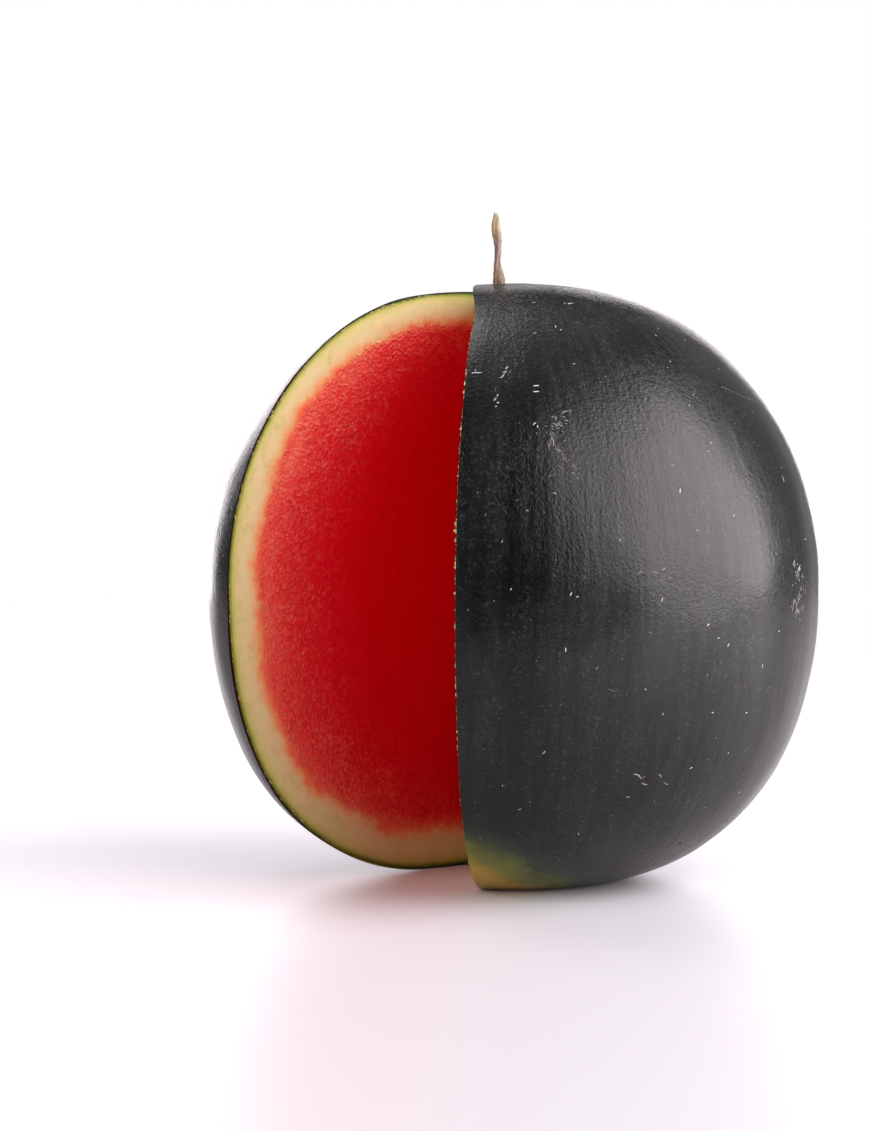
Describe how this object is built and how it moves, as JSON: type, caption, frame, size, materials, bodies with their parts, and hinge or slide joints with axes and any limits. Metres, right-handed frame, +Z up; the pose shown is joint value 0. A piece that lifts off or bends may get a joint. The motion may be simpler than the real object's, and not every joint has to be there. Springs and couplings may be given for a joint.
{
  "type": "watermelon",
  "caption": "Round, dark-skinned watermelon with a wedge cut out from crown to base, showing rind and red flesh, with its dry stem stub.",
  "frame": {"origin": "centre of the flat spot that the fruit stands on, at floor level", "axes": "+Z up through the crown; the notch opens toward -X and -Y"},
  "size_m": [0.2224, 0.2195, 0.2425],
  "materials": {
    "skin": "waxy, nearly black green fruit skin, half gloss",
    "rind": "moist cut rind, green at the skin and cream inside",
    "flesh": "wet, grainy red flesh, deeper red toward the middle",
    "stem": "dry, wrinkled stem"
  },
  "bodies": {
    "root": {"fruit": "skin", "stem": "stem"}
  },
  "joints": []
}
